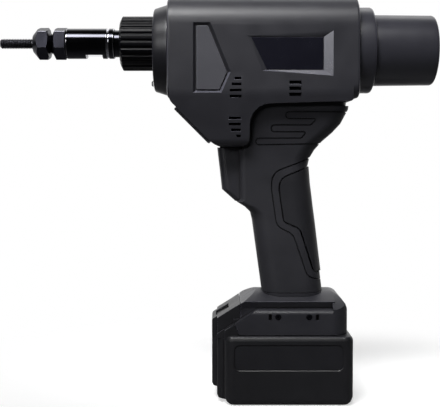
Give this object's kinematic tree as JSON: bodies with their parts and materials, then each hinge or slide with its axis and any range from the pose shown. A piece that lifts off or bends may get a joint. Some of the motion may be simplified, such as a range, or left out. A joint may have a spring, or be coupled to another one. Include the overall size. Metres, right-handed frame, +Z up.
{
  "type": "battery rivet nut tool",
  "caption": "Pistol-grip battery tool with a threaded mandrel nose, a stroke adjuster ring, a trigger and a slide-on pack, for setting rivet nuts.",
  "frame": {"origin": "middle of the battery pack's flat base", "axes": "+X towards the rear cap with the nose along -X, +Y across the tool, +Z up from the base"},
  "size_m": [0.3435, 0.076, 0.3147],
  "materials": {
    "shell": "fine moulded texture",
    "rubber": "matte",
    "satin_plastic": "satin",
    "name_plate": "gloss",
    "black_sleeve": "gloss black",
    "black_oxide": "black oxide",
    "black_anodised": "black anodised",
    "lens": "clear",
    "steel": "ground",
    "aluminium": "machined",
    "brass": "machined",
    "windings": "lacquered",
    "magnet": "sintered",
    "board": "solder mask",
    "cell": "wrapped",
    "frame_plastic": "matte",
    "seal": "matte"
  },
  "bodies": {
    "tool": {"casing_left": "shell", "casing_right": "shell", "grip_left": "rubber", "grip_right": "rubber", "palm_pad": "rubber", "side_panel_left": "shell", "side_panel_right": "shell", "name_plate_left": "name_plate", "name_plate_right": "name_plate", "chin_plate": "shell", "front_collar": "satin_plastic", "lamp_lens": "lens", "nose_sleeve": "black_sleeve", "guide_rod": "steel", "frame_front": "aluminium", "frame_rear": "aluminium", "frame_posts": "aluminium", "nut_bearings": "steel", "idler_axle": "steel", "motor_can": "steel", "motor_magnets": "magnet", "motor_endcap": "shell", "spin_can": "steel", "ring_gear": "steel", "rear_ring": "satin_plastic", "rear_cap": "satin_plastic", "trigger_spring": "steel", "switch_body": "shell", "control_board": "board", "terminal_block": "shell", "battery_rails": "shell", "casing_screws": "black_oxide", "rail_screws": "black_oxide"},
    "trigger": {"trigger": "shell"},
    "adjuster": {"adjuster_ring": "black_anodised"},
    "anvil_carrier": {"anvil_seal": "seal"},
    "anvil": {"anvil": "black_oxide"},
    "lock_nut": {"lock_nut": "black_oxide"},
    "carriage": {"ball_screw": "steel", "pull_sleeve": "steel", "thrust_ring": "steel", "torque_arm": "brass"},
    "spindle": {"chuck": "steel", "mandrel": "black_oxide"},
    "nut": {"ball_nut": "steel", "nut_gear": "brass"},
    "idler": {"idler_gear": "steel"},
    "rotor": {"motor_rotor": "windings", "motor_pinion": "steel"},
    "spin_rotor": {"spin_rotor": "windings"},
    "drive": {"drive_shaft": "steel"},
    "planet_a": {"planet_1": "brass"},
    "planet_b": {"planet_2": "brass"},
    "planet_c": {"planet_3": "brass"},
    "pack": {"pack_tub": "shell", "pack_lid": "shell", "pack_cells": "cell", "pack_frame": "frame_plastic", "latch_spring": "steel"},
    "latch": {"latch_button": "shell"}
  },
  "joints": [
    {"name": "trigger_pull", "type": "slide", "parent": "tool", "child": "trigger", "axis": [1, 0, 0], "range_m": [0, 0.006], "stiffness_N_per_m": 700, "springref_m": -0.006, "deforming": ["trigger_spring"]},
    {"name": "pack_slide", "type": "slide", "parent": "tool", "child": "pack", "axis": [-1, 0, 0], "range_m": [0, 0.085]},
    {"name": "latch_press", "type": "slide", "parent": "pack", "child": "latch", "axis": [0, 0, -1], "range_m": [0, 0.003], "stiffness_N_per_m": 900, "springref_m": -0.003, "deforming": ["latch_spring"]},
    {"name": "adjuster_turn", "type": "hinge", "parent": "tool", "child": "adjuster", "pos_m": [-0.118, 0, 0.2807], "axis": [1, 0, 0], "range_deg": [-150, 150]},
    {"name": "anvil_slide", "type": "slide", "parent": "tool", "child": "anvil_carrier", "axis": [-1, 0, 0], "range_m": [0, 0.005]},
    {"name": "anvil_turn", "type": "hinge", "parent": "anvil_carrier", "child": "anvil", "pos_m": [-0.19, 0, 0.2807], "axis": [-1, 0, 0], "range_deg": [-5, 1205]},
    {"name": "lock_nut_turn", "type": "hinge", "parent": "anvil", "child": "lock_nut", "pos_m": [-0.18, 0, 0.2807], "axis": [-1, 0, 0], "range_deg": [0, 60]},
    {"name": "rotor_spin", "type": "hinge", "parent": "tool", "child": "rotor", "pos_m": [-0.02, 0, 0.2267], "axis": [-1, 0, 0], "range_deg": [-10, 3715]},
    {"name": "idler_spin", "type": "hinge", "parent": "tool", "child": "idler", "pos_m": [-0.06, 0, 0.2487], "axis": [-1, 0, 0], "range_deg": [-1735, 5]},
    {"name": "nut_spin", "type": "hinge", "parent": "tool", "child": "nut", "pos_m": [-0.065, 0, 0.2807], "axis": [-1, 0, 0], "range_deg": [-2, 580]},
    {"name": "carriage_pull", "type": "slide", "parent": "tool", "child": "carriage", "axis": [1, 0, 0], "range_m": [0, 0.008]},
    {"name": "spin_rotor_spin", "type": "hinge", "parent": "tool", "child": "spin_rotor", "pos_m": [0.07, 0, 0.2807], "axis": [1, 0, 0], "continuous": true},
    {"name": "drive_spin", "type": "hinge", "parent": "tool", "child": "drive", "pos_m": [0, 0, 0.2807], "axis": [1, 0, 0], "continuous": true},
    {"name": "spindle_spin", "type": "hinge", "parent": "carriage", "child": "spindle", "pos_m": [-0.15, 0, 0.2807], "axis": [1, 0, 0], "continuous": true},
    {"name": "planet_a_spin", "type": "hinge", "parent": "drive", "child": "planet_a", "pos_m": [0.0447, 0.00675, 0.2807], "axis": [1, 0, 0], "continuous": true},
    {"name": "planet_b_spin", "type": "hinge", "parent": "drive", "child": "planet_b", "pos_m": [0.0447, -0.00337, 0.28655], "axis": [1, 0, 0], "continuous": true},
    {"name": "planet_c_spin", "type": "hinge", "parent": "drive", "child": "planet_c", "pos_m": [0.0447, -0.00337, 0.27485], "axis": [1, 0, 0], "continuous": true}
  ],
  "couplings": [
    {"joint": "anvil_turn", "follows": "anvil_slide", "rad_per_m": 4188.8},
    {"joint": "rotor_spin", "follows": "carriage_pull", "rad_per_m": 8078.4},
    {"joint": "idler_spin", "follows": "carriage_pull", "rad_per_m": -3769.9},
    {"joint": "nut_spin", "follows": "carriage_pull", "rad_per_m": 1256.6},
    {"joint": "drive_spin", "follows": "spin_rotor_spin", "ratio": 0.25},
    {"joint": "spindle_spin", "follows": "spin_rotor_spin", "ratio": 0.25},
    {"joint": "planet_a_spin", "follows": "spin_rotor_spin", "ratio": -0.75},
    {"joint": "planet_b_spin", "follows": "spin_rotor_spin", "ratio": -0.75},
    {"joint": "planet_c_spin", "follows": "spin_rotor_spin", "ratio": -0.75}
  ]
}
